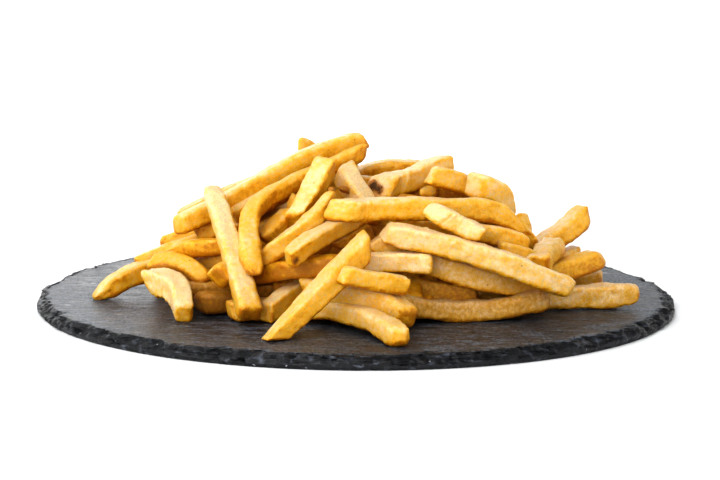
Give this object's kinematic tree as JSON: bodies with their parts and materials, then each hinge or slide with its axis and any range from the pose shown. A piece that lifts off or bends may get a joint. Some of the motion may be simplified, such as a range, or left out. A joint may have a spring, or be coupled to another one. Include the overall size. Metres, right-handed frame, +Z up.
{
  "type": "french fries portion",
  "caption": "Heap of thick golden French fries, some browned, piled on a round dark slate serving board with a chipped rim.",
  "frame": {"origin": "centre of the board's flat underside", "axes": "+Z up; +X runs to the right across the heap as seen from its front; -Y is the front of the heap"},
  "size_m": [0.3, 0.3, 0.0835],
  "materials": {
    "slate": "split dark grey slate, matt, with a rougher chipped rim and a few dusty rub marks",
    "fried_potato": "fried potato, pale yellow to golden with browned corners and ends, a thin gloss of oil"
  },
  "bodies": {
    "root": {"slate_board": "slate", "fries_heap": "fried_potato"}
  },
  "joints": []
}
